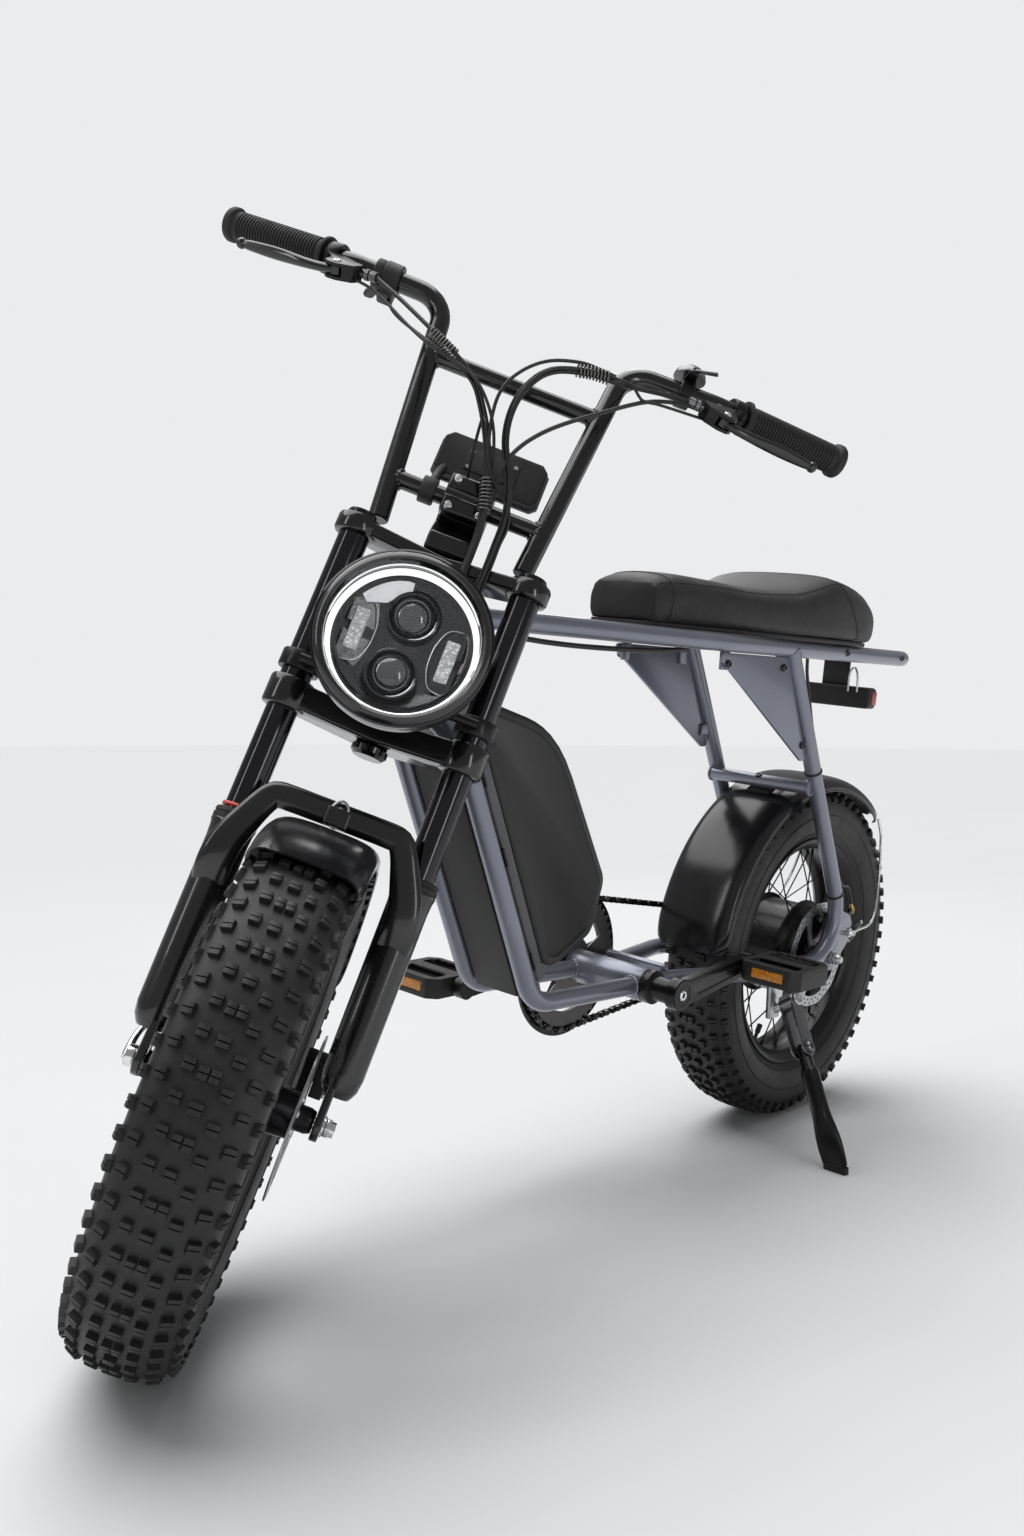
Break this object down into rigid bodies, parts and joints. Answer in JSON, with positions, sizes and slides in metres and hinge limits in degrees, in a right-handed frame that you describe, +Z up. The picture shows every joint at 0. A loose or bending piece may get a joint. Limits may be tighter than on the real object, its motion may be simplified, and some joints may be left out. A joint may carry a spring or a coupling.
{
  "type": "electric bicycle",
  "caption": "Moped-style electric bicycle with fat tyres, a long bench seat, a round headlight, a triple-clamp fork and a side stand.",
  "frame": {"origin": "on the ground, under the middle of the box round the bicycle as it stands", "axes": "+X forwards along the frame, +Y to the rider's left, +Z up from the ground"},
  "size_m": [1.5276, 0.5424, 1.1797],
  "materials": {
    "slate_paint": "satin metallic",
    "satin_black": "satin",
    "gloss_black": "gloss",
    "black_plastic": "matt",
    "battery_shell": "satin",
    "rubber": "matt",
    "tyre": "matt",
    "black_leather": "grained",
    "steel": "satin",
    "dark_steel": "satin",
    "alloy_black": "anodised satin",
    "white_light": "frosted",
    "clear_glass": "clear",
    "red_lens": "gloss",
    "cable_black": "satin"
  },
  "bodies": {
    "frame": {"frame": "slate_paint", "gusset_left": "slate_paint", "gusset_right": "slate_paint", "seat_base": "black_plastic", "seat_cushion": "black_leather", "rear_fender": "black_plastic", "tail_light_housing": "black_plastic", "tail_light_lens": "red_lens", "battery_rail": "black_plastic", "rear_axle": "steel", "rear_brake_caliper": "alloy_black", "rear_brake_cable": "cable_black", "chain": "dark_steel"},
    "battery": {"battery_case": "battery_shell"},
    "battery_key": {"key_cylinder": "steel"},
    "steering": {"lower_crown": "alloy_black", "upper_crown": "alloy_black", "stanchion_left": "steel", "stanchion_right": "steel", "stem": "alloy_black", "handlebar": "alloy_black", "grip_left": "rubber", "grip_right": "rubber", "brake_perch_left": "alloy_black", "brake_perch_right": "alloy_black", "display": "black_plastic", "headlight_body": "black_plastic", "headlight_bezel": "gloss_black", "headlight_glass": "clear_glass", "halo_ring": "white_light", "lamp_bracket": "satin_black", "bell": "satin_black", "throttle_clamp": "black_plastic", "cable_loom_left": "cable_black", "cable_loom_right": "cable_black", "loom_wrap_left": "black_plastic", "loom_wrap_right": "black_plastic"},
    "left_lever": {"brake_lever_left": "alloy_black"},
    "right_lever": {"brake_lever_right": "alloy_black"},
    "throttle": {"throttle_paddle": "black_plastic"},
    "bell_striker": {"bell_lever": "steel"},
    "fork_legs": {"fork_lowers": "alloy_black", "front_axle": "steel", "front_brake_caliper": "alloy_black", "front_fender": "black_plastic"},
    "front_wheel": {"front_hub": "dark_steel", "front_rim": "alloy_black", "front_tyre": "tyre", "front_brake_disc": "steel"},
    "rear_wheel": {"rear_hub_motor": "alloy_black", "rear_rim": "alloy_black", "rear_tyre": "tyre", "rear_brake_disc": "steel"},
    "sprocket": {"freewheel": "dark_steel"},
    "cranks": {"crank_right": "alloy_black", "crank_left": "alloy_black", "chainring": "alloy_black"},
    "left_pedal": {"pedal_left": "alloy_black"},
    "right_pedal": {"pedal_right": "alloy_black"},
    "kickstand": {"kickstand_leg": "satin_black"}
  },
  "joints": [
    {"name": "steering_turn", "type": "hinge", "parent": "frame", "child": "steering", "pos_m": [0.51887, -0.04228, 0.23684], "axis": [-0.4004, 0.1037, 0.9105], "range_deg": [-91.6, 4.4]},
    {"name": "fork_travel", "type": "slide", "parent": "steering", "child": "fork_legs", "axis": [-0.4004, 0.1037, 0.9105], "range_m": [0, 0.06], "stiffness_N_per_m": 9500, "springref_m": -0.025},
    {"name": "front_wheel_spin", "type": "hinge", "parent": "fork_legs", "child": "front_wheel", "pos_m": [0.54714, -0.01169, 0.24578], "axis": [-0.6319, 0.6883, -0.3563], "continuous": true},
    {"name": "rear_wheel_spin", "type": "hinge", "parent": "frame", "child": "rear_wheel", "pos_m": [-0.5121, -0.04035, 0.25378], "axis": [0, 0.9936, -0.1132], "continuous": true},
    {"name": "crank_spin", "type": "hinge", "parent": "frame", "child": "cranks", "pos_m": [-0.0751, -0.03871, 0.26819], "axis": [0, 0.9936, -0.1132], "continuous": true},
    {"name": "sprocket_spin", "type": "hinge", "parent": "frame", "child": "sprocket", "pos_m": [-0.5121, -0.04035, 0.25378], "axis": [0, 0.9936, -0.1132], "continuous": true},
    {"name": "left_pedal_spin", "type": "hinge", "parent": "cranks", "child": "left_pedal", "pos_m": [-0.23373, -0.03635, 0.28894], "axis": [0, 0.9936, -0.1132], "continuous": true},
    {"name": "right_pedal_spin", "type": "hinge", "parent": "cranks", "child": "right_pedal", "pos_m": [0.08354, -0.04107, 0.24744], "axis": [0, 0.9936, -0.1132], "continuous": true},
    {"name": "left_lever_pull", "type": "hinge", "parent": "steering", "child": "left_lever", "pos_m": [0.04922, 0.20685, 0.91961], "axis": [0.0832, 0.6833, 0.7254], "range_deg": [0, 14], "stiffness_Nm_per_rad": 2, "springref_deg": -8.59},
    {"name": "right_lever_pull", "type": "hinge", "parent": "steering", "child": "right_lever", "pos_m": [0.33358, -0.10286, 1.07994], "axis": [-0.2845, -0.4641, -0.8389], "range_deg": [0, 14], "stiffness_Nm_per_rad": 2, "springref_deg": -8.59},
    {"name": "throttle_press", "type": "hinge", "parent": "steering", "child": "throttle", "pos_m": [0.26608, -0.07267, 1.07557], "axis": [0.6002, -0.7048, 0.3783], "range_deg": [0, 45], "stiffness_Nm_per_rad": 0.15, "springref_deg": -17.19},
    {"name": "bell_flick", "type": "hinge", "parent": "steering", "child": "bell_striker", "pos_m": [0.06712, 0.17416, 0.96053], "axis": [0.3805, -0.0823, -0.9211], "range_deg": [0, 20], "stiffness_Nm_per_rad": 0.05, "springref_deg": -17.19},
    {"name": "battery_tilt", "type": "hinge", "parent": "frame", "child": "battery", "pos_m": [0.11709, -0.03523, 0.29871], "axis": [0, -0.9936, 0.1132], "range_deg": [0, 10]},
    {"name": "key_turn", "type": "hinge", "parent": "frame", "child": "battery_key", "pos_m": [0.26792, -0.00251, 0.58587], "axis": [0, 0.9936, -0.1132], "range_deg": [0, 90]},
    {"name": "kickstand_fold", "type": "hinge", "parent": "frame", "child": "kickstand", "pos_m": [-0.3621, 0.06143, 0.20193], "axis": [0.0299, 0.8834, 0.4677], "range_deg": [0, 102.6]}
  ],
  "couplings": [
    {"joint": "sprocket_spin", "follows": "crank_spin", "ratio": 2.4444}
  ]
}
